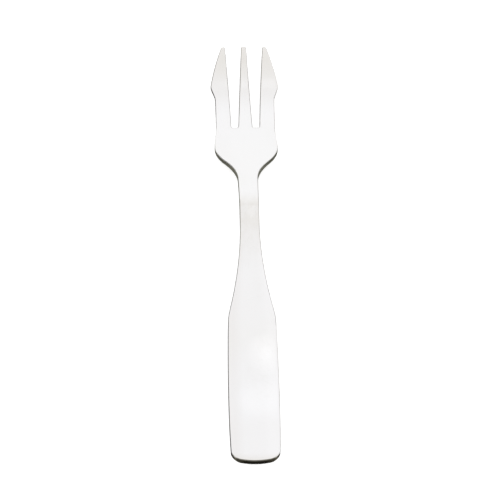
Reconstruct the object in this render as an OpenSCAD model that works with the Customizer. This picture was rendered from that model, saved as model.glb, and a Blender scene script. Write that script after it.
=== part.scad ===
// Oyster fork: three barbed tines, a flat palm, a slim neck and a paddle grip,
// blanked and bent from one strip of stainless steel. All sizes are in millimetres.
// X runs across the fork, +Y towards the tine tips, +Z up from the table it rests on.
// The origin lies under the middle of the fork. Places along the fork are measured
// back from the tine tips, along the table.

/* [Overall] */
// Overall length, from the tine tips to the end of the handle
length = 143; // [137:1:160]

/* [Grip] */
// Width of the grip at its widest
grip_w = 15.2; // [14.5:0.1:19]
// Width of the grip at the corners where the neck's flare ends
corner_w = 14.3; // [11:0.1:15]
// Width of the grip just before its end corners
end_w = 14.4; // [11:0.1:15]
// Length of the grip, from the end of the flare to the end of the handle
grip_len = 47; // [40:1:52]
// Distance of the grip's widest place from the end of the handle
widest_at = 19.5; // [14:0.5:26]
// How far the middle of the handle end stands out past its corners
end_bow = 1.3; // [0.5:0.1:2.5]
// Radius of the two corners of the handle end
end_r = 2.8; // [1.2:0.1:4]
// Thickness of the handle end
end_t = 2.3; // [1.6:0.1:2.8]

/* [Neck] */
// Width of the neck at its slimmest
neck_w = 5.9; // [4.8:0.1:8]
// Width of the neck where the shoulders run into it
foot_w = 6.1; // [5:0.1:8.5]
// Length of the flare, from the slim neck to the grip's corners
flare_len = 30; // [24:0.5:34]
// Thickness of the neck at its crest
neck_t = 2.8; // [2.2:0.1:3.6]

/* [Palm] */
// Width over the outer tines, below their barbs
head_w = 18.4; // [17:0.1:20]
// Width of the palm at its shoulders
shoulder_w = 19.5; // [18.5:0.1:23]
// Length of the palm, from the slot roots to its widest place
palm_len = 8.1; // [5:0.1:10]
// Length of the shoulders, from the widest place to the neck
shoulder_len = 14.8; // [11:0.2:18]
// Length of the round outer part of the shoulders
shoulder_round = 6.2; // [3:0.2:9]
// Thickness of the palm
head_t = 1.6; // [1.3:0.1:2.4]

/* [Tines] */
// Length of the tines, from the tips to the slot roots
tine_len = 26.9; // [22:0.1:30]
// Width of the middle tine at its tip
mid_tip_w = 1.6; // [1.2:0.1:2.2]
// Width of the middle tine at the slot roots
mid_root_w = 4.4; // [3.2:0.1:5]
// Width of each outer tine at its tip
side_tip_w = 1.1; // [1:0.1:2.2]
// Width of the two slots at the tine tips
slot_tip_w = 5.05; // [4.4:0.05:5.4]
// Width of the two slots at their roots
slot_root_w = 2.2; // [1.8:0.1:3]
// Radius of the corners at the slot roots
root_r = 0.5; // [0.4:0.1:1]
// Radius of the corners of the tine tips
tip_r = 0.6; // [0.4:0.05:0.75]
// Thickness of the tine tips
tip_t = 1.2; // [1:0.1:1.6]

/* [Barbs] */
// Width over the barbs of the outer tines
barb_w = 21.3; // [19.5:0.1:24]
// Distance of the barbs from the tine tips
barb_at = 12.7; // [9:0.1:15]
// Length of the barbs' slanting backs
barb_len = 3.6; // [2.5:0.1:6]
// How far the points and the feet of the barbs are rounded off
barb_round = 0.25; // [0.1:0.05:0.5]

/* [Side view] */
// Height of the tine tips' underside above the table
tip_h = 5.4; // [2:0.1:8]
// Distance of the heel, on which the head rests, from the tine tips
heel_at = 25; // [20:0.5:28]
// Length of the level stretch under the heel
heel_len = 3; // [2:0.2:6]
// Length of the bend behind the heel
heel_bend = 8; // [4:0.5:12]
// Distance of the neck's crest from the tine tips
crest_at = 60; // [54:0.5:66]
// Height of the neck's underside above the table at the crest
crest_h = 9.2; // [5:0.2:14]
// Length of the bend over the crest
crest_bend = 6; // [3:0.5:10]
// Length of the level stretch under the end of the handle
landing_len = 10; // [6:0.5:16]
// Length of the bend with which the handle comes down to the table
landing_bend = 30; // [15:1:40]

/* [Surface] */
// Radius of the polished edges
edge_r = 0.45; // [0.3:0.05:0.75]
// How much the top stands higher along the middle than at its sides
crown = 0.15; // [0.05:0.05:0.4]
// How deep the heel and the handle end are worn flat
worn = 0.05; // [0.02:0.01:0.1]

/* [Hidden] */

// Places along the fork
shoulder_at = tine_len + palm_len;
foot_at = shoulder_at + shoulder_len;
corner_at = length - grip_len;
flare_at = corner_at - flare_len;
grip_middle_at = length - widest_at;
landing_at = length - landing_len;
heel_front = heel_at - heel_len / 2;
heel_back = heel_at + heel_len / 2;

// Shares of the sizes that they follow
shoulder_round_share = shoulder_round / shoulder_len;
palm_swell_share = 0.3;
blade_bow_share = 0.4;
barb_zone_share = 0.5;
slot_curve_share = 1.3;
tine_bend_share = 0.8;
tip_upright_share = 0.1;
crest_front_share = 0.7;
thickening_share = 0.6;
thinning_share = 0.4;
bow_zone_share = 0.6;
corner_blend_share = 0.02;

// No rounding takes more than these shares of the metal or gap that carries it
edge_limit_share = 0.45;
tip_limit_share = 0.42;
root_limit_share = 0.4;
tip_radius = min(tip_r, tip_limit_share * min(mid_tip_w, side_tip_w));
root_radius = min(root_r, root_limit_share * slot_root_w);
blend_w = corner_blend_share * grip_w;
overrun = 1;

// Columns of points across one tine: its rim, the middle and the end of the edge's
// quarter round, and the same from the other side
rim_share = 1 - cos(45);
tine_columns = 6;
columns = 3 * tine_columns;
gaps = [tine_columns - 1, 2 * tine_columns - 1];

// From 0 to 1: a parabola up to the given share and a mirrored one over the rest
function ease(u, share) =
    u <= 0 ? 0
    : u >= 1 ? 1
    : u < share ? u * u / share
    : 1 - (1 - u) * (1 - u) / (1 - share);

// From 0 to 1: straight, with a round start and a round finish of the given shares
function ramp(u, start, finish) =
    let (steep = 1 / (1 - start / 2 - finish / 2))
    u <= 0 ? 0
    : u >= 1 ? 1
    : u < start ? steep * u * u / (2 * start)
    : u > 1 - finish ? 1 - steep * (1 - u) * (1 - u) / (2 * finish)
    : steep * (u - start / 2);

function mix(a, b, u) = a + (b - a) * u;
function share_of(d, from, to) = (d - from) / (to - from);

// The smaller or the larger of two values, with their meeting rounded over k
function soft_min(a, b, k) = (a + b - norm([a - b, k])) / 2;
function soft_max(a, b, k) = (a + b + norm([a - b, k])) / 2;

// Half width of the outer tines' outer sides: the blade out to the barb, then its back
function blade(d) =
    let (tip = mid_tip_w / 2 + slot_tip_w + side_tip_w)
    let (u = d / barb_at)
    mix(tip, barb_w / 2, u + blade_bow_share * u * (1 - u));
function barb_back(d) = mix(barb_w, head_w, share_of(d, barb_at, barb_at + barb_len)) / 2;
function barb(d) = soft_min(blade(d), barb_back(d), barb_round);

// Half width of the palm, the shoulders and the neck, behind the barbs
function palm(d) =
    mix(head_w, shoulder_w, ease(share_of(d, tine_len, shoulder_at), palm_swell_share)) / 2;
function shoulders(d) =
    mix(palm(d), foot_w / 2, ease(share_of(d, shoulder_at, foot_at), shoulder_round_share));
function neck(d) =
    mix(shoulders(d), neck_w / 2, d < foot_at ? 0 : ease(share_of(d, foot_at, crest_at), 0));

// Half width of the flare and of the barrel-shaped grip
function flare(d) = mix(neck_w, corner_w, pow(max(share_of(d, flare_at, corner_at), 0), 2)) / 2;
function grip(d) =
    d < grip_middle_at
    ? mix(grip_w, corner_w, pow(share_of(d, grip_middle_at, corner_at), 2)) / 2
    : mix(grip_w, end_w, pow(share_of(d, grip_middle_at, length), 2)) / 2;

// Half width of the whole fork, before its ends are rounded off
function half_width(d) =
    d < barb_at ? barb(d)
    : d < shoulder_at ? soft_max(barb(d), palm(d), barb_round)
    : d < flare_at ? neck(d)
    : max(neck_w / 2, soft_min(max(flare(d), neck(d)), grip(d), blend_w));

// How squarely the side meets a line drawn across the fork
function squareness(d) =
    let (slope = (half_width(d + edge_r) - half_width(d - edge_r)) / (2 * edge_r))
    1 / norm([1, slope]);

// Inner side of the outer tines, side of the middle tine, and the slot between them
function slot_outer(d) =
    let (u = max(share_of(d, tine_len, 0), 0))
    mix(mid_root_w / 2 + slot_root_w, mid_tip_w / 2 + slot_tip_w, pow(u, slot_curve_share));
function slot_inner(d) = mix(mid_root_w, mid_tip_w, max(share_of(d, tine_len, 0), 0)) / 2;
function slot_middle(d) = (slot_outer(d) + slot_inner(d)) / 2;
function slot_half(d) = (slot_outer(d) - slot_inner(d)) / 2;

// Lost width where a corner of radius r is rounded, at the distance e from the end
function corner_loss(e, r) = e >= r ? 0 : r - sqrt(r * r - (r - e) * (r - e));

// Distance from a rounded corner's edge, for a point a from the side and e from the end
function corner_gap(a, e, r) =
    a > r && e > r ? min(a, e) : r - norm([max(r - a, 0), max(r - e, 0)]);

// Distance of a point from the slots, whose roots have round corners
function slot_gap(x, d) =
    norm([
        max(abs(abs(x) - slot_middle(d)) - slot_half(d) + root_radius, 0),
        max(root_radius - tine_len + d, 0)
    ]) - root_radius;

// Distance of a point from the nearest edge of the fork
function edge_gap(x, d) =
    let (side = (half_width(d) - abs(x)) * squareness(d))
    let (a = min(side, slot_gap(x, d)))
    max(min(corner_gap(a, d, tip_radius), corner_gap(a, length - d, end_r)), 0);

// Thickness of the metal, and the radius of its edges
function thickness(d) =
    d < tine_len ? mix(head_t, tip_t, pow(1 - d / tine_len, 2))
    : d < crest_at ? mix(head_t, neck_t, ease(share_of(d, tine_len, crest_at), thickening_share))
    : mix(neck_t, end_t, ease(share_of(d, crest_at, length), thinning_share));
function edge_radius(d) = min(edge_r, edge_limit_share * thickness(d));

// How far the rounded edge falls away at the distance g from the edge
function fall(g, r) = g >= r ? 0 : r - sqrt(r * r - (r - g) * (r - g));

// Height of the unworn underside: curved tines, level heel, straight rise to the
// crest, straight fall to the level landing of the handle
function rise(d) =
    let (rise_len = crest_at - heel_back)
    let (fall_len = landing_at - crest_at)
    let (front_bend = crest_front_share * crest_bend)
    let (back_bend = crest_bend - front_bend)
    d < heel_front ? tip_h * ramp(share_of(d, heel_front, 0), tine_bend_share, 0)
    : d < crest_at
    ? crest_h * ramp(share_of(d, heel_back, crest_at), heel_bend / rise_len, front_bend / rise_len)
    : crest_h * ramp(share_of(d, landing_at, crest_at), landing_bend / fall_len, back_bend / fall_len);

// Slope of the bent metal, positive where it rises towards the handle. The ends of
// the tines are ground upright, so it counts as level there.
function slope(d) =
    ease(d / (tip_upright_share * tine_len), 0) * (rise(d + edge_r) - rise(d - edge_r)) / (2 * edge_r);

// How far a point moves forward because the handle end is bowed
function bow(x, d) =
    let (zone = bow_zone_share * widest_at)
    end_bow * pow(max(1 - (length - d) / zone, 0), 2) * pow(x / half_width(d), 2);

// Places of the rows of points along the fork, from the tips back
function spread(from, to, steps) = [for (i = [0 : steps - 1]) mix(from, to, i / steps)];
barb_front = barb_at - barb_zone_share * barb_len;
barb_foot = barb_at + barb_len + barb_zone_share * barb_len;
head_rows = concat(
    [for (a = [0 : 30 : 60]) tip_radius * (1 - cos(a))],
    spread(tip_radius, barb_front, 6),
    spread(barb_front, barb_foot, 11),
    spread(barb_foot, tine_len - root_radius, 5),
    [for (a = [90 : -30 : 0]) tine_len - root_radius * (1 - cos(a))]
);
root_row = len(head_rows) - 1;
body_rows = concat(
    [tine_len + rim_share * edge_r],
    spread(tine_len + edge_r, shoulder_at, 5),
    spread(shoulder_at, foot_at, 15),
    spread(foot_at, corner_at - end_r, 28),
    spread(corner_at - end_r, corner_at + end_r, 4),
    spread(corner_at + end_r, length - end_r, 12),
    [for (a = [90 : -15 : 0]) length - end_r * (1 - cos(a))]
);
rows = concat(head_rows, body_rows);

// Points across one tine, or across the same third of the body: its two rims x0 and x1,
// and the ends of the edges' quarter rounds, which start from its full sides s0 and s1
function tine_points(x0, s0, s1, x1, r) =
    let (o = min(r, edge_limit_share * (s1 - s0)))
    [x0, s0 + rim_share * o, s0 + o, s1 - o, s1 - rim_share * o, x1];

// Points across the fork at the distance d from the tips
function across(d) =
    let (r = edge_radius(d) / squareness(d))
    let (tip = corner_loss(d, tip_radius))
    let (flat = d > tine_len ? root_radius : corner_loss(tine_len - d, root_radius))
    let (grow = d > tine_len ? half_width(d) / half_width(tine_len) : 1)
    let (half = half_width(d) - corner_loss(length - d, end_r) - tip)
    let (outer = slot_outer(d) * grow + tip)
    let (inner = slot_inner(d) * grow - tip)
    let (rim = flat * grow)
    concat(
        tine_points(-half, -half, -outer, rim - outer, r),
        tine_points(-inner - rim, -inner, inner, inner + rim, r),
        tine_points(outer - rim, outer, half, half, r)
    );

// A point at the given depth under the top, square to the bent metal
function sunk(x, d, depth) =
    let (square = 1 / norm([1, slope(d)]))
    [
        x,
        length / 2 - d + bow(x, d) - depth * slope(d) * square,
        rise(d) - worn + thickness(d) - depth * square
    ];
function top_point(x, d) =
    let (lost = fall(edge_gap(x, d), edge_radius(d)))
    sunk(x, d, lost - crown * (1 - pow(x / half_width(d), 2)));
function bottom_point(x, d) = sunk(x, d, thickness(d) - fall(edge_gap(x, d), edge_radius(d)));

// Numbers of the points, and the triangles of a four-sided patch
function top_at(i, j) = i * columns + j;
function bottom_at(i, j) = (len(rows) + i) * columns + j;
function patch(a, b, c, d) = [[a, b, c], [a, c, d]];
function is_gap(i, j) = i < root_row && (j == gaps[0] || j == gaps[1]);

// The wall that closes the rim between two neighbouring points of the top
function wall(i, j, k, m) = patch(top_at(i, j), top_at(k, m), bottom_at(k, m), bottom_at(i, j));

module blank() {
    sheet = [for (d = rows) [for (x = across(d)) [x, d]]];
    last = len(rows) - 1;
    points = concat(
        [for (row = sheet) for (p = row) top_point(p[0], p[1])],
        [for (row = sheet) for (p = row) bottom_point(p[0], p[1])]
    );
    faces = concat(
        [
            for (i = [0 : last - 1]) for (j = [0 : columns - 2]) if (!is_gap(i, j))
            each concat(
                patch(top_at(i, j), top_at(i, j + 1), top_at(i + 1, j + 1), top_at(i + 1, j)),
                patch(bottom_at(i, j), bottom_at(i + 1, j), bottom_at(i + 1, j + 1), bottom_at(i, j + 1))
            )
        ],
        [for (i = [0 : last - 1]) each wall(i, 0, i + 1, 0)],
        [for (i = [0 : last - 1]) each wall(i + 1, columns - 1, i, columns - 1)],
        [for (g = gaps) for (i = [0 : root_row - 1]) each wall(i + 1, g, i, g)],
        [for (g = gaps) for (i = [0 : root_row - 1]) each wall(i, g + 1, i + 1, g + 1)],
        [for (g = gaps) each wall(root_row, g + 1, root_row, g)],
        [for (j = [0 : columns - 2]) if (!is_gap(0, j)) each wall(0, j + 1, 0, j)],
        [for (j = [0 : columns - 2]) each wall(last, j, last, j + 1)]
    );
    polyhedron(points = points, faces = faces, convexity = 8);
}

// The whole fork, with its heel and its handle end worn level with the table
module fork() {
    color("gainsboro")
    difference() {
        blank();
        translate([-barb_w, -length, -worn - overrun])
        cube([2 * barb_w, 2 * length, worn + overrun]);
    }
}

fork();
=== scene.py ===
# %% [markdown]
# An oyster fork is one strip of stainless steel: three slim tines, two of them barbed, a flat
# palm, a raised neck and a flat grip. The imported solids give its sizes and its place. This
# script dresses them: it works the same shape out again as a much finer surface, polishes it,
# and photographs it on a pale table. The fork's own lengths are written in millimetres, because
# that is how cutlery is measured, and turned into Blender's metres when the mesh is made. The
# room round the fork, and the finish on it, are written in metres.

import bpy
import numpy as np
from mathutils import Matrix, Vector


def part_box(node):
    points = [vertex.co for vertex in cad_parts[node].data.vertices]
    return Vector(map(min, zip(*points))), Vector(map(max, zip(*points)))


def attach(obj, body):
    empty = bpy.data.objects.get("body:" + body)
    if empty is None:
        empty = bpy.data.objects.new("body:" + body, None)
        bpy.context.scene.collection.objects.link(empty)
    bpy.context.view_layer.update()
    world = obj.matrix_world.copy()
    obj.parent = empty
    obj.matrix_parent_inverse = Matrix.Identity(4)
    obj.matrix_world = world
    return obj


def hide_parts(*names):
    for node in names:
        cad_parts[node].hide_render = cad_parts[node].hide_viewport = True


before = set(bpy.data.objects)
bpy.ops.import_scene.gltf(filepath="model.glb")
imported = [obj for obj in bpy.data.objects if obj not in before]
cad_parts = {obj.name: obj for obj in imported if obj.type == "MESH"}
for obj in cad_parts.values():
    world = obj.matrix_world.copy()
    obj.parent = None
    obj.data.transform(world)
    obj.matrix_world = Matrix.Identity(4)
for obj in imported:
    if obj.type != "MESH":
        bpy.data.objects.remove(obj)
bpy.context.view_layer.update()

# %% [markdown]
# The sizes come first. They are the same ones that the solids were built from, measured back
# from the tine tips along the table, so that the surface lies on the solid with no fitting.

# %% Sizes of the fork, in millimetres
length = 143.0
grip_w, corner_w, end_w, grip_len, widest_at = 15.2, 14.3, 14.4, 47.0, 19.5
end_bow, end_r, end_t = 1.3, 2.8, 2.3
neck_w, foot_w, flare_len, neck_t = 5.9, 6.1, 30.0, 2.8
head_w, shoulder_w, palm_len, shoulder_len = 18.4, 19.5, 8.1, 14.8
shoulder_round, head_t = 6.2, 1.6
tine_len, mid_tip_w, mid_root_w, side_tip_w = 26.9, 1.6, 4.4, 1.1
slot_tip_w, slot_root_w, root_r, tip_r, tip_t = 5.05, 2.2, 0.5, 0.6, 1.2
barb_w, barb_at, barb_len, barb_round = 21.3, 12.7, 3.6, 0.25
tip_h, heel_at, heel_len, heel_bend = 5.4, 25.0, 3.0, 8.0
crest_at, crest_h, crest_bend, landing_len, landing_bend = 60.0, 9.2, 6.0, 10.0, 30.0
edge_r, crown, worn = 0.45, 0.15, 0.05

# %% Places that follow from the sizes
shoulder_at = tine_len + palm_len
foot_at = shoulder_at + shoulder_len
corner_at = length - grip_len
flare_at = corner_at - flare_len
grip_middle_at = length - widest_at
landing_at = length - landing_len
heel_front, heel_back = heel_at - heel_len / 2, heel_at + heel_len / 2
print("shoulders at", shoulder_at, "neck from", foot_at, "to", flare_at, "grip from", corner_at)

# %% Radii that narrow metal may hold back, as shares of what is there
most_of_tip, most_of_root, most_of_metal = 0.42, 0.4, 0.45
tip_radius = min(tip_r, most_of_tip * min(mid_tip_w, side_tip_w))
root_radius = min(root_r, most_of_root * slot_root_w)
print(f"tips rounded by {tip_radius:.3f} mm, slot roots by {root_radius:.3f} mm")

# %% [markdown]
# A drawn curve on metal is mostly a straight run with a round start and a round finish. A few
# small blending functions are enough for the whole fork. They take whole arrays, so that a
# curve is worked out for every point of the mesh at once, without a loop.

# %% Blending functions
def share_of(d, start, stop):
    """How far d lies on the way from start to stop, as a share."""
    return (d - start) / (stop - start)


def mix(a, b, u):
    """The value a share u of the way from a to b."""
    return a + (b - a) * u


def ease(u, bend):
    """From 0 to 1: a parabola up to the share bend, and a mirrored parabola over the rest."""
    u = np.clip(u, 0, 1)
    start = u * u / max(bend, 1e-9)
    return np.where(u < bend, start, 1 - (1 - u) ** 2 / (1 - bend))


def ramp(u, start, finish):
    """From 0 to 1: a straight line whose first and last shares are parabolas that meet it."""
    u = np.clip(u, 0, 1)
    steep = 1 / (1 - start / 2 - finish / 2)
    first = steep * u * u / (2 * max(start, 1e-9))
    last = 1 - steep * (1 - u) ** 2 / (2 * max(finish, 1e-9))
    return np.where(u < start, first, np.where(u > 1 - finish, last, steep * (u - start / 2)))


def soft_min(a, b, k):
    """The smaller of two values, rounded over k where they cross: a hyperbola's branch."""
    return (a + b - np.hypot(a - b, k)) / 2


def soft_max(a, b, k):
    """The larger of two values, rounded over k where they cross: the other branch."""
    return (a + b + np.hypot(a - b, k)) / 2


halves = [round(float(f), 3) for f in (ease(0.5, 0.3), ramp(0.5, 0.3, 0.1), soft_min(1, 1, 0.1))]
print("half way along an ease and a ramp, and where two equal values meet softly:", halves)

# %% [markdown]
# The blanking die cuts the outline first, so the outline comes first here. One function gives
# half the fork's width at any distance from the tips: the barbed blade, the palm that swells
# a little, the shoulders, the slim neck, the flare and the barrel-shaped grip. A drawn path
# would do too, but a function can be asked anywhere, and keeps every stretch in its own terms.

# %% Outline of the blank
blade_belly, palm_bend, grip_blend = 0.4, 0.3, 0.02 * grip_w


def half_width(d):
    """Half width at the distance d: each stretch is a straight or a parabola, joined softly."""
    tip = mid_tip_w / 2 + slot_tip_w + side_tip_w
    u = d / barb_at
    blade = mix(tip, barb_w / 2, u + blade_belly * u * (1 - u))
    back = mix(barb_w, head_w, share_of(d, barb_at, barb_at + barb_len)) / 2
    barb = soft_min(blade, back, barb_round)
    palm = mix(head_w, shoulder_w, ease(share_of(d, tine_len, shoulder_at), palm_bend)) / 2
    drop = ease(share_of(d, shoulder_at, foot_at), shoulder_round / shoulder_len)
    shoulders = mix(palm, foot_w / 2, drop)
    slim = np.where(d < foot_at, 0, ease(share_of(d, foot_at, crest_at), 0))
    neck = mix(shoulders, neck_w / 2, slim)
    flare = mix(neck_w, corner_w, np.maximum(share_of(d, flare_at, corner_at), 0) ** 2) / 2
    front = mix(grip_w, corner_w, share_of(d, grip_middle_at, corner_at) ** 2) / 2
    rear = mix(grip_w, end_w, share_of(d, grip_middle_at, length) ** 2) / 2
    grip = np.where(d < grip_middle_at, front, rear)
    handle = np.maximum(neck_w / 2, soft_min(np.maximum(flare, neck), grip, grip_blend))
    head = np.where(d < barb_at, barb, soft_max(barb, palm, barb_round))
    return np.where(d < shoulder_at, head, np.where(d < flare_at, neck, handle))


def squareness(d):
    """Cosine of the angle between the side and the fork's own axis."""
    turn = (half_width(d + edge_r) - half_width(d - edge_r)) / (2 * edge_r)
    return 1 / np.hypot(1, turn)


looked_at = {"tips": 0.0, "barbs": barb_at, "shoulders": shoulder_at, "neck": crest_at}
for name, at in looked_at.items():
    print(f"width at the {name}: {2 * float(half_width(np.array(at))):.2f} mm")

# %% [markdown]
# Two slots part the tines. Their sides open slightly curved towards the tips, and their roots
# are flat with round corners, as a punch leaves them. Cutting them out of a finished mesh would
# leave ragged faces, so they are distances too, and the grid below is made to follow them.

# %% Slots between the tines
slot_power = 1.3


def slot_outer(d):
    """Inner side of the outer tines: a power curve from the slot root to the tip."""
    u = np.maximum(share_of(d, tine_len, 0), 0)
    return mix(mid_root_w / 2 + slot_root_w, mid_tip_w / 2 + slot_tip_w, u**slot_power)


def slot_inner(d):
    """Side of the middle tine: a straight line from the slot root to the tip."""
    return mix(mid_root_w, mid_tip_w, np.maximum(share_of(d, tine_len, 0), 0)) / 2


def slot_gap(x, d):
    """Distance of a point from the nearer slot: that of a box with round corners."""
    middle, half = (slot_outer(d) + slot_inner(d)) / 2, (slot_outer(d) - slot_inner(d)) / 2
    beside = np.maximum(np.abs(np.abs(x) - middle) - half + root_radius, 0)
    behind = np.maximum(root_radius - tine_len + d, 0)
    return np.hypot(beside, behind) - root_radius


print(f"slots open from {slot_root_w} mm to {slot_outer(0.0) - slot_inner(0.0):.2f} mm")

# %% [markdown]
# Every edge of the fork is polished round. Instead of bevelling it, the surface asks each
# point how far it is from the nearest edge, and lets it fall along a quarter circle there.
# This gives one unbroken surface over tips, barbs and slot roots, where a bevel would knot.

# %% Distance from the edge, and the fall over it
def fall(g, r):
    """How far a quarter circle of radius r drops at the distance g from its outer end."""
    inside = np.clip(r - g, 0, r)
    return r - np.sqrt(r * r - inside**2)


def corner_gap(a, e, r):
    """Distance from a round corner's edge, a from the side and e from the end."""
    near = r - np.hypot(np.maximum(r - a, 0), np.maximum(r - e, 0))
    return np.where((a > r) & (e > r), np.minimum(a, e), near)


def edge_gap(x, d):
    """Distance from the nearest edge: the least of side, slot, tine tip and handle end."""
    side = (half_width(d) - np.abs(x)) * squareness(d)
    a = np.minimum(side, slot_gap(x, d))
    return np.maximum(np.minimum(corner_gap(a, d, tip_radius), corner_gap(a, length - d, end_r)), 0)


print(f"from the middle of the palm to the nearest edge: {edge_gap(0.0, shoulder_at):.2f} mm")

# %% [markdown]
# Seen from the side, the strip is thickest at the neck and thinnest at the tips. It rests on
# its heel and on the end of the handle, and rises straight from both to a crest at the neck.
# The same eased shares draw it: a bend in the press is a short curve between straight runs.

# %% Thickness and side view
neck_swell, handle_thinning = 0.6, 0.4
crest_front, crest_rear = 0.7 * crest_bend, 0.3 * crest_bend
tine_curl, level_tip, bowed_zone = 0.8, 0.1 * tine_len, 0.6 * widest_at


def thickness(d):
    """Thickness of the metal: three stretches that each ease into the next."""
    tines = mix(head_t, tip_t, np.clip(1 - d / tine_len, 0, 1) ** 2)
    neck = mix(head_t, neck_t, ease(share_of(d, tine_len, crest_at), neck_swell))
    handle = mix(neck_t, end_t, ease(share_of(d, crest_at, length), handle_thinning))
    return np.where(d < tine_len, tines, np.where(d < crest_at, neck, handle))


def edge_radius(d):
    """Radius of the polished edge: at most a share of the metal's thickness."""
    return np.minimum(edge_r, most_of_metal * thickness(d))


def rise(d):
    """Height of the unworn underside: curved tines, level heel, straight rise, straight fall."""
    up_len, down_len = crest_at - heel_back, landing_at - crest_at
    tines = ramp(share_of(d, heel_front, 0), tine_curl, 0)
    up = ramp(share_of(d, heel_back, crest_at), heel_bend / up_len, crest_front / up_len)
    down = ramp(share_of(d, landing_at, crest_at), landing_bend / down_len, crest_rear / down_len)
    return np.where(d < heel_front, tip_h * tines, crest_h * np.where(d < crest_at, up, down))


def slope(d):
    """Slope of the bent metal, positive where it rises towards the handle, none at the tips."""
    return ease(d / level_tip, 0) * (rise(d + edge_r) - rise(d - edge_r)) / (2 * edge_r)


def bow(x, d):
    """How far a point moves forward because the handle end is bowed: a parabola both ways."""
    along = np.maximum(1 - (length - d) / bowed_zone, 0) ** 2
    return end_bow * along * (x / half_width(d)) ** 2


for name, at in looked_at.items():
    print(f"{name}: {thickness(at):.2f} mm thick, {rise(at) - worn:.2f} mm off the table")

# %% [markdown]
# The mesh is a grid. Its rows run across the fork and stand close together where the shape
# turns quickly. Its columns run along the three tines and on through the palm and handle.
# Round edges get points at equal angles of their quarter circle, so no facet shows there.

# %% Rows of the grid
def quarter_circle(count):
    """Shares from 0 to 1 at equal angles of a quarter circle, closest together at the start."""
    return 1 - np.cos(np.linspace(0, np.pi / 2, count))


def stretch(start, stop, step):
    """Evenly spaced places from start up to, but not including, stop."""
    return np.linspace(start, stop, max(int(round((stop - start) / step)), 1), endpoint=False)


tine_step, barb_step, palm_step, shoulder_step = 0.35, 0.11, 0.3, 0.25
handle_step, corner_step = 0.45, 0.2
barb_from, barb_to = barb_at - 1.2, barb_at + barb_len + 1.6
crest_to, corner_from, corner_to = crest_at + 4, corner_at - 2, corner_at + 2
round_edge, round_end = quarter_circle(9), quarter_circle(19)
head_rows = np.concatenate([
    tip_radius * round_edge[:-1],
    stretch(tip_radius, barb_from, tine_step),
    stretch(barb_from, barb_to, barb_step),
    stretch(barb_to, tine_len - root_radius, tine_step),
    tine_len - root_radius * round_edge[::-1],
])
body_rows = np.concatenate([
    tine_len + edge_r * round_edge[1:-1],
    stretch(tine_len + edge_r, shoulder_at, palm_step),
    stretch(shoulder_at, foot_at, shoulder_step),
    stretch(foot_at, crest_to, palm_step),
    stretch(crest_to, corner_from, handle_step),
    stretch(corner_from, corner_to, corner_step),
    stretch(corner_to, length - end_r, handle_step),
    length - end_r * round_end[::-1],
])
root_row = len(head_rows) - 1
rows = np.concatenate([head_rows, body_rows])
print("rows:", len(rows), "slot roots at row", root_row)

# %% Columns of the grid
between_edges = 7


def tine_columns(x0, x1, r):
    """Places across one tine: equal angles round both edges, even steps between them."""
    o = np.minimum(r, most_of_metal * (x1 - x0))[:, None]
    x0, x1 = x0[:, None], x1[:, None]
    even = np.linspace(0, 1, between_edges + 2)[None, 1:-1]
    return np.hstack([x0 + o * round_edge, mix(x0 + o, x1 - o, even), x1 - o * round_edge[::-1]])


def across(d):
    """Three tines side by side. Behind the slots the same columns follow the outline in."""
    r = edge_radius(d) / squareness(d)
    tip = fall(d, tip_radius)
    behind = d > tine_len
    grow = np.where(behind, half_width(d) / half_width(np.array(tine_len)), 1)
    rim = np.where(behind, root_radius, fall(tine_len - d, root_radius)) * grow
    half = half_width(d) - fall(length - d, end_r) - tip
    outer, inner = slot_outer(d) * grow + tip - rim, slot_inner(d) * grow - tip + rim
    sides = [(-half, -outer), (-inner, inner), (outer, half)]
    return np.hstack([tine_columns(a, b, r) for a, b in sides])


x = across(rows)
d = np.repeat(rows[:, None], x.shape[1], axis=1)
tine_span = x.shape[1] // 3
slot_columns = [tine_span - 1, 2 * tine_span - 1]
print("columns:", x.shape[1], "points on one side:", x.size)

# %% [markdown]
# Top and underside are the same grid at two heights. A strip of wall joins their rims: along
# both sides, round the two slots, over the tips and over the handle end. The faces are listed
# as whole arrays of four corners, counter-clockwise seen from outside.

# %% Points of the surface
def sunk(x, d, depth):
    """Points at a depth under the top, square to the bent metal, and none below the table."""
    square = 1 / np.hypot(1, slope(d))
    y = length / 2 - d + bow(x, d) - depth * slope(d) * square
    z = rise(d) - worn + thickness(d) - depth * square
    return np.stack([x, y, np.maximum(z, 0)], axis=-1)


gap = edge_gap(x, d)
lost = fall(gap, edge_radius(d))
raised = crown * (1 - (x / half_width(d)) ** 2)
top, bottom = sunk(x, d, lost - raised), sunk(x, d, thickness(d) - lost)
points = np.concatenate([top.reshape(-1, 3), bottom.reshape(-1, 3)]) / 1000
print("points:", len(points), "highest at", round(1000 * points[:, 2].max(), 2), "mm")

# %% Faces of the surface
upper = np.arange(x.size).reshape(x.shape)
lower = upper + x.size
metal = np.ones((x.shape[0] - 1, x.shape[1] - 1), bool)
metal[:root_row, slot_columns] = False


def cells(grid, flip):
    """Four-cornered faces of a grid where the metal is, turned over for the underside."""
    four = np.stack([grid[:-1, :-1], grid[1:, :-1], grid[1:, 1:], grid[:-1, 1:]], axis=-1)[metal]
    return four[:, ::-1] if flip else four


def wall(i, j):
    """Faces that join the upper rim to the lower rim along rows i and columns j of the grid."""
    above, below = upper[i, j], lower[i, j]
    return np.stack([above[:-1], below[:-1], below[1:], above[1:]], axis=-1)


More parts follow.
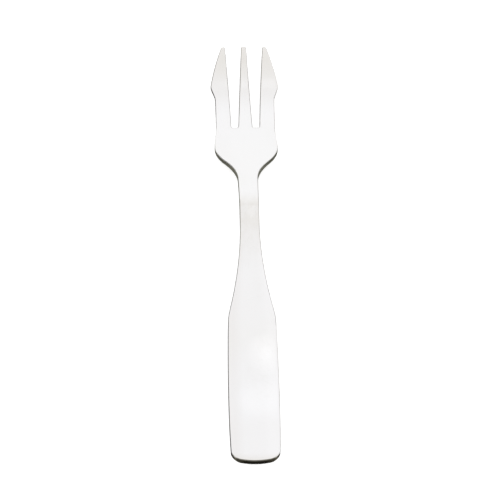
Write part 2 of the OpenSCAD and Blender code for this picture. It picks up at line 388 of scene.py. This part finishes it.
walls = [wall(slice(None), 0), wall(slice(None, None, -1), x.shape[1] - 1), wall(-1, slice(None))]
for g in slot_columns:
    walls += [
        wall(slice(root_row, None, -1), g),
        wall(slice(0, root_row + 1), g + 1),
        wall(root_row, slice(g + 1, g - 1, -1)),
    ]
for first in range(0, x.shape[1], tine_span):
    walls.append(wall(0, slice(first + tine_span - 1, first - 1 if first else None, -1)))
faces = np.concatenate([cells(upper, False), cells(lower, True), *walls])
print("faces:", len(faces))

# %% [markdown]
# The finish needs to know where it is on the metal. Two numbers are kept with every point: how
# far it is round an edge, and how deep it lies between the top and the underside. They are
# worked out from the shape, so the finish follows it, whatever the light or the view.

# %% Build the mesh and measure it
def mesh_from(name, points, faces):
    """A mesh from arrays of points and of four-cornered faces, shaded smooth."""
    mesh = bpy.data.meshes.new(name)
    mesh.from_pydata(points.tolist(), [], faces.tolist())
    mesh.polygons.foreach_set("use_smooth", np.ones(len(faces), bool))
    mesh.update()
    return mesh


def keep_number(mesh, name, values):
    """Stores one number for each point, for the finish to read by name."""
    layer = mesh.attributes.new(name, "FLOAT", "POINT")
    layer.data.foreach_set("value", np.asarray(values, np.float32).ravel())


fork_mesh = mesh_from("oyster_fork", points, faces)
turned = np.clip(1 - gap / edge_r, 0, 1)
keep_number(fork_mesh, "edge_turn", np.stack([turned, turned]))
from_under = np.clip(lost / thickness(d), 0, 1)
keep_number(fork_mesh, "edge_height", np.stack([1 - from_under, from_under]))
fork = bpy.data.objects.new("oyster_fork", fork_mesh)
bpy.context.scene.collection.objects.link(fork)

a, b, c, e = (points[faces[:, k]] for k in range(4))
volume = np.einsum("ij,ij->i", a, np.cross(b, c) + np.cross(c, e)).sum() / 6
print(f"volume {volume * 1e9:.0f} mm3, {2 * len(faces)} triangles")

# %% Put the surface in the solid's place
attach(fork, "root")
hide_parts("fork")
low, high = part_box("fork")
past_low, past_high = 1000 * (points.min(0) - low), 1000 * (points.max(0) - high)
print("off the solid by mm:", np.round(past_low, 2), np.round(past_high, 2))

# %% [markdown]
# Polished stainless steel is nearly a mirror, and its colour is what it reflects. What makes it
# look real is small: polishing marks, smudges, duller cut edges and wear, and the edges and the
# wear also carry painted shade. A photograph wrapped round the metal would fix them to one light.
# Noise and measures of the shape do not, so each of the four is a node group of its own, with
# dials, that can be set or used again.

# %% Helpers for node groups
def new_group(name, inputs, outputs):
    """An empty node group with named number or colour sockets. Gives its tree and its ends."""
    tree = bpy.data.node_groups.new(name, "ShaderNodeTree")
    for label, kind, value in inputs:
        tree.interface.new_socket(label, in_out="INPUT", socket_type=kind).default_value = value
    for label, kind in outputs:
        tree.interface.new_socket(label, in_out="OUTPUT", socket_type=kind)
    return tree, tree.nodes.new("NodeGroupInput"), tree.nodes.new("NodeGroupOutput")


def node(tree, kind, **settings):
    """A node of one kind, with its settings and the values of its named sockets."""
    made = tree.nodes.new(kind)
    for key, value in settings.items():
        if hasattr(made, key):
            setattr(made, key, value)
        else:
            made.inputs[key.replace("_", " ")].default_value = value
    return made


def feed(tree, socket, value):
    """Links a socket to another one, or sets it to a plain number or colour."""
    if isinstance(value, bpy.types.NodeSocket):
        tree.links.new(value, socket)
    else:
        socket.default_value = value


def work(tree, operation, first, second=0.0):
    """One step of arithmetic on two values, each a socket or a plain number."""
    made = node(tree, "ShaderNodeMath", operation=operation)
    feed(tree, made.inputs[0], first)
    feed(tree, made.inputs[1], second)
    return made.outputs["Value"]


def sum_of(tree, parts, base=0.0):
    """A base value plus each part times its share. Each may be a socket or a plain number."""
    total = base
    for value, share in parts:
        total = work(tree, "ADD", total, work(tree, "MULTIPLY", value, share))
    return total


def reshape(tree, value, start, stop, low=0.0, high=1.0):
    """Maps the range start to stop of a value onto low to high, smoothly and within limits."""
    made = node(tree, "ShaderNodeMapRange", interpolation_type="SMOOTHSTEP", From_Min=start,
                From_Max=stop, To_Min=low, To_Max=high)
    tree.links.new(value, made.inputs["Value"])
    return made.outputs["Result"]


def own_place(tree):
    """The piece's own coordinates, in metres."""
    return node(tree, "ShaderNodeTexCoord").outputs["Object"]


def own_axes(tree):
    """The piece's own coordinates, parted into X, Y and Z."""
    made = node(tree, "ShaderNodeSeparateXYZ")
    tree.links.new(own_place(tree), made.inputs["Vector"])
    return made.outputs


def noise(tree, stretched, scale, detail):
    """Noise on the piece's own coordinates, each of them scaled down where it is stretched."""
    mapping = node(tree, "ShaderNodeMapping", Scale=stretched)
    made = node(tree, "ShaderNodeTexNoise", Scale=scale, Detail=detail, Roughness=0.5)
    tree.links.new(own_place(tree), mapping.inputs["Vector"])
    tree.links.new(mapping.outputs["Vector"], made.inputs["Vector"])
    return made.outputs["Fac"]


# %% [markdown]
# A polishing wheel runs along the fork. It leaves waves that are felt rather than seen, and
# lines much finer than a millimetre. Both are noise stretched along the fork: the waves and the
# lines tilt the mirror a little, and the lines also blur it.

# %% Polishing waves and lines
polish, enter, leave = new_group(
    "polishing",
    [("Waves", "NodeSocketFloat", 0.5), ("Lines", "NodeSocketFloat", 0.1)],
    [("Height", "NodeSocketFloat"), ("Blur", "NodeSocketFloat")],
)
waves = noise(polish, stretched=(1.0, 0.45, 1.0), scale=190.0, detail=1.0)
lines = noise(polish, stretched=(1.0, 0.03, 1.0), scale=5200.0, detail=2.0)
height = sum_of(polish, [(waves, enter.outputs["Waves"]), (lines, enter.outputs["Lines"])])
polish.links.new(height, leave.inputs["Height"])
polish.links.new(reshape(polish, lines, start=0.3, stop=0.75), leave.inputs["Blur"])
print("polishing:", len(polish.nodes), "nodes")

# %% [markdown]
# Fingers leave smudges: soft patches a few millimetres wide, broken up into specks. Two noises
# are multiplied, the patches cut high so that most of the metal stays clean.

# %% Smudges from handling
smudge, enter, leave = new_group(
    "smudges",
    [("Amount", "NodeSocketFloat", 0.5)],
    [("Mask", "NodeSocketFloat")],
)
patches = noise(smudge, stretched=(1.0, 0.6, 1.0), scale=130.0, detail=3.0)
patches = reshape(smudge, patches, start=0.45, stop=0.72)
specks = noise(smudge, stretched=(1.0, 1.0, 1.0), scale=900.0, detail=2.0)
specks = reshape(smudge, specks, start=0.35, stop=0.8, low=0.4)
mask = work(smudge, "MULTIPLY", work(smudge, "MULTIPLY", patches, specks), enter.outputs["Amount"])
smudge.links.new(mask, leave.inputs["Mask"])
print("smudges:", len(smudge.nodes), "nodes")

# %% [markdown]
# A blanking die shears the upper part of an edge smooth and tears the lower part. Polishing
# rounds both. The torn part is darker, partly as duller metal and partly as painted shade for
# the dark that it mirrors low by the table. The end of the handle is darkest: painted shade
# for the shadow where it stands on the table. The two numbers kept with the mesh say where
# these parts are.

# %% Cut edges, darkened partly by painted shade
# A mix node has sockets for several kinds of value. Its colours are at these places.
mix_first, mix_second, mix_result = 6, 7, 2


def blend_colours(tree, share, first, second, blend_type="MIX"):
    """One colour mixed into another, or multiplied into it, by a share."""
    made = node(tree, "ShaderNodeMix", data_type="RGBA", blend_type=blend_type)
    for socket, value in (("Factor", share), (mix_first, first), (mix_second, second)):
        feed(tree, made.inputs[socket], value)
    return made.outputs[mix_result]


cut, enter, leave = new_group(
    "cut_edges_and_shade",
    [("Face", "NodeSocketColor", (0.9, 0.9, 0.9, 1)),
     ("Sheared", "NodeSocketColor", (0.4, 0.4, 0.38, 1)),
     ("Torn", "NodeSocketColor", (0.15, 0.15, 0.14, 1)),
     ("End", "NodeSocketColor", (0.12, 0.12, 0.1, 1))],
    [("Color", "NodeSocketColor"), ("Mask", "NodeSocketFloat")],
)
turn = node(cut, "ShaderNodeAttribute", attribute_name="edge_turn").outputs["Fac"]
depth = node(cut, "ShaderNodeAttribute", attribute_name="edge_height").outputs["Fac"]
edge = reshape(cut, turn, start=0.55, stop=0.8)
torn = reshape(cut, depth, start=0.15, stop=0.5, low=1.0, high=0.0)
# The end of the handle is darkened here: painted shade.
shaded_end = work(cut, "MULTIPLY",
              reshape(cut, own_axes(cut)["Y"], start=-0.0706, stop=-0.0700, low=1.0, high=0.0),
              reshape(cut, turn, start=0.15, stop=0.5))
colour = blend_colours(cut, torn, enter.outputs["Sheared"], enter.outputs["Torn"])
colour = blend_colours(cut, edge, enter.outputs["Face"], colour)
colour = blend_colours(cut, shaded_end, colour, enter.outputs["End"])
cut.links.new(colour, leave.inputs["Color"])
cut.links.new(work(cut, "MAXIMUM", edge, shaded_end), leave.inputs["Mask"])
print("cut edges:", len(cut.nodes), "nodes")

# %% [markdown]
# A warm tint is multiplied in at the tips, at the crest of the neck and at the very end. It is
# partly wear, where a fork is used, held and knocked, and partly painted shade for the darker
# tones that the bent metal shows there. At the crest it is broken up by noise.

# %% Wear and painted shade along the fork
wear_and_shade, enter, leave = new_group(
    "wear_and_shade",
    [("Color", "NodeSocketColor", (0.9, 0.9, 0.9, 1)), ("Tips", "NodeSocketFloat", 0.1),
     ("Crest", "NodeSocketFloat", 0.06), ("End", "NodeSocketFloat", 0.08)],
    [("Color", "NodeSocketColor")],
)
# The warm tint darkens the tips, the crest and the end: partly wear, partly painted shade.
warm_shade_tint = (0.4, 0.3, 0.08, 1)
along = own_axes(wear_and_shade)["Y"]
at_tips = reshape(wear_and_shade, along, start=0.050, stop=0.066)
shaded_end = reshape(wear_and_shade, along, start=-0.0715, stop=-0.0685, low=1.0, high=0.0)
at_crest = work(wear_and_shade, "MULTIPLY", reshape(wear_and_shade, along, start=0.009, stop=0.016, low=1.0, high=0.0),
                reshape(wear_and_shade, along, start=-0.014, stop=0.009))
mottled = reshape(wear_and_shade, noise(wear_and_shade, stretched=(1.0, 0.7, 1.0), scale=420.0, detail=2.0),
                  start=0.35, stop=0.65, low=0.8, high=1.12)
at_crest = work(wear_and_shade, "MULTIPLY", at_crest, mottled)
lost_light = sum_of(wear_and_shade, [(at_tips, enter.outputs["Tips"]), (at_crest, enter.outputs["Crest"]),
                           (shaded_end, enter.outputs["End"])])
colour = blend_colours(wear_and_shade, lost_light, enter.outputs["Color"], warm_shade_tint, blend_type="MULTIPLY")
wear_and_shade.links.new(colour, leave.inputs["Color"])
print("wear:", len(wear_and_shade.nodes), "nodes")

# %% [markdown]
# The material puts the four groups together. Stainless steel is a little darker than silver and
# slightly warm. Its roughness starts low, for a mirror polish, and the lines, the smudges and
# the cut edges each add some.

# %% The steel itself
def place_group(tree, group, **dials):
    """Puts a node group into a material with its own settings."""
    made = tree.nodes.new("ShaderNodeGroup")
    made.node_tree = group
    for key, value in dials.items():
        made.inputs[key].default_value = value
    return made


face_colour, dull_colour = (0.90, 0.896, 0.892, 1), (0.83, 0.825, 0.80, 1)
mirror_roughness, line_blur, smudge_blur, edge_blur = 0.06, 0.02, 0.08, 0.12
wave_height = 0.00004
steel = bpy.data.materials.new("polished_steel")
steel.use_nodes = True
tree = steel.node_tree
shader = tree.nodes["Principled BSDF"]
shader.inputs["Metallic"].default_value = 1.0
polishing = place_group(tree, polish, Waves=0.5, Lines=0.02)
smudges = place_group(tree, smudge, Amount=0.25)
# The tint at the tips, the crest and the end is partly wear, partly painted shade.
worn_and_shaded = place_group(tree, wear_and_shade, Tips=0.135, Crest=0.145, End=0.12)
# The torn part and the end get dark colours here: painted shade, with some duller metal in the torn
# part.
edges = place_group(tree, cut, Face=face_colour, Sheared=(0.84, 0.84, 0.815, 1),
                    Torn=(0.5, 0.5, 0.475, 1), End=(0.2, 0.195, 0.17, 1))
tree.links.new(edges.outputs["Color"], worn_and_shaded.inputs["Color"])
smudged = work(tree, "MULTIPLY", smudges.outputs["Mask"],
               work(tree, "SUBTRACT", 1.0, edges.outputs["Mask"]))
colour = blend_colours(tree, smudged, worn_and_shaded.outputs["Color"], dull_colour)
tree.links.new(colour, shader.inputs["Base Color"])
rough = sum_of(tree, [(polishing.outputs["Blur"], line_blur),
                      (smudges.outputs["Mask"], smudge_blur),
                      (edges.outputs["Mask"], edge_blur)], base=mirror_roughness)
tree.links.new(rough, shader.inputs["Roughness"])
bump = node(tree, "ShaderNodeBump", Strength=0.25, Distance=wave_height)
tree.links.new(polishing.outputs["Height"], bump.inputs["Height"])
tree.links.new(bump.outputs["Normal"], shader.inputs["Normal"])
fork_mesh.materials.append(steel)
print("steel: roughness from", mirror_roughness, "face colour", face_colour[:3])

# %% [markdown]
# The table is a plain pale sheet. Its own colour is nearly white, and what the camera and the
# metal see of it is lifted to full white, so the object's soft shadow is all that shows on it.

# %% Table
def grid_object(name, at):
    """An object from a grid of points: every four neighbours of the grid make a face."""
    grid = np.arange(at.shape[0] * at.shape[1]).reshape(at.shape[:2])
    quads = np.stack([grid[:-1, :-1], grid[:-1, 1:], grid[1:, 1:], grid[1:, :-1]], axis=-1)
    made = bpy.data.objects.new(name, mesh_from(name, at.reshape(-1, 3), quads.reshape(-1, 4)))
    bpy.context.scene.collection.objects.link(made)
    return made


def level_grid(ends_x, ends_y, height, count=9):
    """Points of a level rectangle: even steps in two directions, at one height."""
    u, v = np.meshgrid(np.linspace(*ends_x, count), np.linspace(*ends_y, count))
    return np.stack([u, v, np.full_like(u, height)], axis=-1)


camera_lift, mirror_lift = 0.62, 0.2
table = grid_object("table", level_grid((-3, 3), (-3, 3), 0.0, count=3))
white = bpy.data.materials.new("table_white")
white.use_nodes = True
tree = white.node_tree
shader = tree.nodes["Principled BSDF"]
shader.inputs["Base Color"].default_value = (0.8, 0.8, 0.8, 1)
shader.inputs["Roughness"].default_value = 0.9
shader.inputs["Specular IOR Level"].default_value = 0.0
shader.inputs["Emission Color"].default_value = (1, 1, 1, 1)
seen = node(tree, "ShaderNodeLightPath").outputs
mirrored = work(tree, "ADD", seen["Is Glossy Ray"], seen["Is Transmission Ray"])
lift = sum_of(tree, [(seen["Is Camera Ray"], camera_lift), (mirrored, mirror_lift)])
tree.links.new(lift, shader.inputs["Emission Strength"])
table.data.materials.append(white)
print("table lifted by", camera_lift, "for the camera and by", mirror_lift, "for the metal")

# %% [markdown]
# The light is a plain white studio all round, so a colour renders about as it is written. What
# polished metal shows is the room, so the room gets a diffuser and cards, as a photographer
# would put there, and dark sheets of painted shade. Lamps would light the table as well. Panels
# that glow, and that only the metal sees, leave it as it is.

# %% Studio light
world = bpy.data.worlds.new("studio")
bpy.context.scene.world = world
world.use_nodes = True
background = world.node_tree.nodes["Background"]
background.inputs["Color"].default_value = (1, 1, 1, 1)
background.inputs["Strength"].default_value = 1.0
print("studio light of strength", background.inputs["Strength"].default_value, "all round")


# %% Panels that only the metal sees
def panel(name, at):
    """A curved or flat panel from a grid of points, with an emission material to be filled in."""
    made = grid_object(name, at)
    shade = bpy.data.materials.new(name + "_light")
    shade.use_nodes = True
    tree = shade.node_tree
    tree.nodes.remove(tree.nodes["Principled BSDF"])
    glow = node(tree, "ShaderNodeEmission")
    tree.links.new(glow.outputs["Emission"], tree.nodes["Material Output"].inputs["Surface"])
    made.data.materials.append(shade)
    for ray in ("camera", "diffuse", "transmission", "volume_scatter", "shadow"):
        setattr(made, "visible_" + ray, False)
    print("panel", name, "of", len(made.data.polygons), "faces")
    return tree, own_axes(tree), glow


def colour_stops(tree, value, stops):
    """Colours at given values, blended evenly between them."""
    made = node(tree, "ShaderNodeValToRGB")
    band = made.color_ramp
    first, last = stops[0][0], stops[-1][0]
    share = node(tree, "ShaderNodeMapRange", From_Min=first, From_Max=last)
    tree.links.new(value, share.inputs["Value"])
    for k, (where, colour) in enumerate(stops):
        at = (where - first) / (last - first)
        stop = band.elements[k] if k < 2 else band.elements.new(at)
        stop.position, stop.color = at, (*colour, 1)
    tree.links.new(share.outputs["Result"], made.inputs["Fac"])
    return made.outputs["Color"]


# %% [markdown]
# A wide diffuser hangs overhead. The upper faces of the fork mirror it, each part of them a
# different stretch of it, so the colours along it give the palm, the neck and the grip their
# tones. It is brighter towards the back, with one soft spot on the right.

# %% Diffuser overhead
def soft_spot(tree, axes, centre, size):
    """One at the centre of an ellipse on the panel, falling smoothly to nothing at its rim."""
    far = 0.0
    for axis, middle, reach in zip("XY", centre, size):
        share = work(tree, "DIVIDE", work(tree, "SUBTRACT", axes[axis], middle), reach)
        square = work(tree, "POWER", work(tree, "ABSOLUTE", share), 2.0)
        far = work(tree, "ADD", far, square)
    return reshape(tree, far, start=0.0, stop=1.0, low=1.0, high=0.0)


panel_height, spot_strength = 0.45, 0.04
front_edge, back_edge = -0.15, 3.4
tree, axes, glow = panel("diffuser",
                         level_grid((-0.7, 0.7), (front_edge, back_edge), panel_height))
glow_colour = colour_stops(tree, axes["Y"], [
    (front_edge, (0.66, 0.64, 0.62)), (-0.02, (0.86, 0.84, 0.82)), (0.03, (0.99, 0.985, 0.985)),
    (0.06, (0.995, 0.992, 1.0)), (0.12, (1.02, 1.02, 1.04)), (0.16, (0.995, 0.99, 1.0)),
    (0.31, (1.035, 1.035, 1.045)), (back_edge, (1.045, 1.045, 1.045)),
])
spot = soft_spot(tree, axes, centre=(0.03, 0.12), size=(0.05, 0.03))
tree.links.new(sum_of(tree, [(spot, spot_strength)], base=1.0), glow.inputs["Strength"])
tree.links.new(glow_colour, glow.inputs["Color"])

# %% [markdown]
# The grip is bent, so it mirrors a far spot twice, but a near one only once. A thin film close
# over it is therefore the place for what shows on the grip alone: a little less light on the
# left, and a soft glint on the right. One shader lets the light through, another one glows, and
# the film adds them up.

# %% Thin film over the grip
film_height, film_half = 0.03, 0.025
tree, axes, glow = panel("film",
                         level_grid((-film_half, film_half), (-0.075, 0.002), film_height))
clear, smoky = (1, 1, 1), (0.965, 0.957, 0.948)
dimmed = colour_stops(tree, axes["X"], [(-film_half, clear), (-0.018, smoky), (-0.0065, smoky),
                                        (-0.003, clear), (film_half, clear)])
right_half = work(tree, "MULTIPLY", reshape(tree, axes["X"], start=0.004, stop=0.008, high=0.022),
                  reshape(tree, axes["X"], start=0.012, stop=0.024, low=1.0, high=0.0))
glint_at = (0.0057, -0.031)
wide_glint = soft_spot(tree, axes, glint_at, size=(0.008, 0.0055))
small_glint = soft_spot(tree, axes, glint_at, size=(0.0032, 0.002))
wide_strength, small_strength = 0.06, 0.04
lit = sum_of(tree, [(wide_glint, wide_strength), (small_glint, small_strength)], base=right_half)
tree.links.new(lit, glow.inputs["Strength"])
glow.inputs["Color"].default_value = (1, 1, 1.05, 1)
see_through = node(tree, "ShaderNodeBsdfTransparent")
tree.links.new(dimmed, see_through.inputs["Color"])
both_ways = node(tree, "ShaderNodeAddShader")
tree.links.new(see_through.outputs["BSDF"], both_ways.inputs[0])
tree.links.new(glow.outputs["Emission"], both_ways.inputs[1])
tree.links.new(both_ways.outputs["Shader"], tree.nodes["Material Output"].inputs["Surface"])

# %% [markdown]
# The round edges mirror what lies low beside them. Dark sheets just over the table stand in
# for the shade round the fork there: painted shade that only the metal sees, so the edges
# mirror something dark. One past the end of the handle, one under the tines and one beside the
# left barb have their own tones.

# %% Sheets of painted shade on the table, under and round the fork
sheet_height, sheet_columns = 0.0002, 9


def shade_sheet(name, outline, stops, near=0.010, far=0.014, share=0.4):
    """A sheet just over the table. Each row of its outline, in mm: along, left end, right end.

    Its light is multiplied by the share beyond the far distance from the middle line.
    """
    along, left_end, right_end = (np.array(outline, float) / 1000).T
    u = mix(left_end[:, None], right_end[:, None], np.linspace(0, 1, sheet_columns)[None, :])
    v = np.repeat(along[:, None], u.shape[1], axis=1)
    tree, axes, glow = panel(name, np.stack([u, v, np.full_like(u, sheet_height)], axis=-1))
    tree.links.new(colour_stops(tree, axes["Y"], stops), glow.inputs["Color"])
    aside = work(tree, "ABSOLUTE", axes["X"])
    tree.links.new(reshape(tree, aside, near, far, low=1.0, high=share), glow.inputs["Strength"])


# Each sheet is painted shade: dark where the table round the fork lies in its shade.
shade_sheet("shade_sheet",
           [(-70, -35, 12), (-25, -35, 12), (-15, -35, 35), (3, -35, 35),
            (8, -15, 35), (18, -15, 35), (23, -35, 35), (40, -35, 35)],
           [(-0.07, (0.06, 0.055, 0.05)), (-0.04, (0.1, 0.09, 0.08)), (0.04, (0.18, 0.18, 0.145))])
shade_sheet("shade_sheet_end",
           [(-95, -35, 35), (-74, -35, 20), (-70, -35, 12)],
           [(-0.095, (0.045, 0.042, 0.034)), (-0.07, (0.045, 0.042, 0.034))],
           near=0.003, far=0.0055, share=4.0)
shade_sheet("shade_sheet_tines",
           [(44, -9, 12), (85, -9, 13)],
           [(0.044, (0.15, 0.13, 0.12)), (0.085, (0.12, 0.11, 0.1))])
shade_sheet("shade_sheet_barb",
           [(51, -24, -10.3), (61, -24, -10.3), (77, -24, -9.3)],
           [(0.051, (0.05, 0.04, 0.04)), (0.061, (0.05, 0.04, 0.04)), (0.064, (0.4, 0.38, 0.37)),
            (0.077, (0.5, 0.48, 0.47))])

# %% [markdown]
# Cards stand further out. The steep parts of the edges mirror them: a pale card in front that is
# greyer towards its top, a dark one on the left and a grey one on the right that both fade to
# white upwards.

# %% Cards in front, on the left and on the right
card_columns, card_rows = 25, 17


def card(name, azimuths, top, stops, radius=2.0):
    """A curved card: part of a dome between two directions, from the table up to an angle."""
    u, v = np.radians(np.meshgrid(np.linspace(*azimuths, card_columns),
                                  np.linspace(0, top, card_rows)))
    at = radius * np.stack([np.cos(v) * np.sin(u), np.cos(v) * np.cos(u), np.sin(v)], axis=-1)
    tree, axes, glow = panel(name, at)
    heights = [(radius * np.sin(np.radians(angle)), colour) for angle, colour in stops]
    tree.links.new(colour_stops(tree, axes["Z"], heights), glow.inputs["Color"])


card("front_card", (112, 250), 72,
     [(0, (0.97, 0.965, 0.96)), (12, (0.86, 0.855, 0.85)), (72, (0.7, 0.68, 0.66))])
card("left_card", (250, 308), 64, [(0, (0.06, 0.045, 0.04)), (64, (1, 1, 1))], radius=1.9)
card("right_card", (45, 100), 16, [(0, (0.5, 0.5, 0.5)), (16, (1, 1, 1))])

# %% [markdown]
# The camera stands one metre from the fork and looks down at sixty degrees, a touch from the
# left, with a long lens, as the photograph's proportions say. It is slid sideways rather than
# turned, so that the fork lies in the picture as it does in the photograph.

# %% Camera
def aim(azimuth, elevation, roll, distance, target, shift_px, scale_mm):
    """Place of a camera on a sphere round the target, slid sideways without being turned."""
    a, e, r = np.radians([azimuth, elevation, roll])
    right = np.array([np.cos(a), np.sin(a), 0])
    up = np.array([-np.sin(a) * np.sin(e), np.cos(a) * np.sin(e), np.cos(e)])
    back = np.array([np.sin(a) * np.cos(e), -np.cos(a) * np.cos(e), np.sin(e)])
    right, up = np.cos(r) * right + np.sin(r) * up, np.cos(r) * up - np.sin(r) * right
    slide = (right * shift_px[0] + up * shift_px[1]) * scale_mm / 1000
    turn = Matrix(np.stack([right, up, back], axis=1).tolist()).to_4x4()
    return Matrix.Translation(Vector(np.array(target) + back * distance + slide)) @ turn


image_px, sensor_mm, px_mm, distance = 500, 36.0, 0.303, 1.0
lens = bpy.data.cameras.new("camera")
lens.sensor_width = sensor_mm
lens.lens = sensor_mm * (1000 * distance / px_mm) / image_px
lens.clip_start, lens.clip_end = 0.01, 20
camera = bpy.data.objects.new("camera", lens)
bpy.context.scene.collection.objects.link(camera)
camera.matrix_world = aim(azimuth=-3.88, elevation=59.84, roll=2.67, distance=distance,
                          target=(0, 0, 0.006), shift_px=(0.27, -5.89), scale_mm=px_mm)
bpy.context.scene.camera = camera
print(f"lens {lens.lens:.1f} mm")

# %% [markdown]
# The standard view turns light into picture values and adds no look of its own, so the white of
# the table stays white and the greys of the metal stay where the panels put them.

# %% Colour management
settings = bpy.context.scene.view_settings
settings.view_transform = "Standard"
print("view:", settings.view_transform)
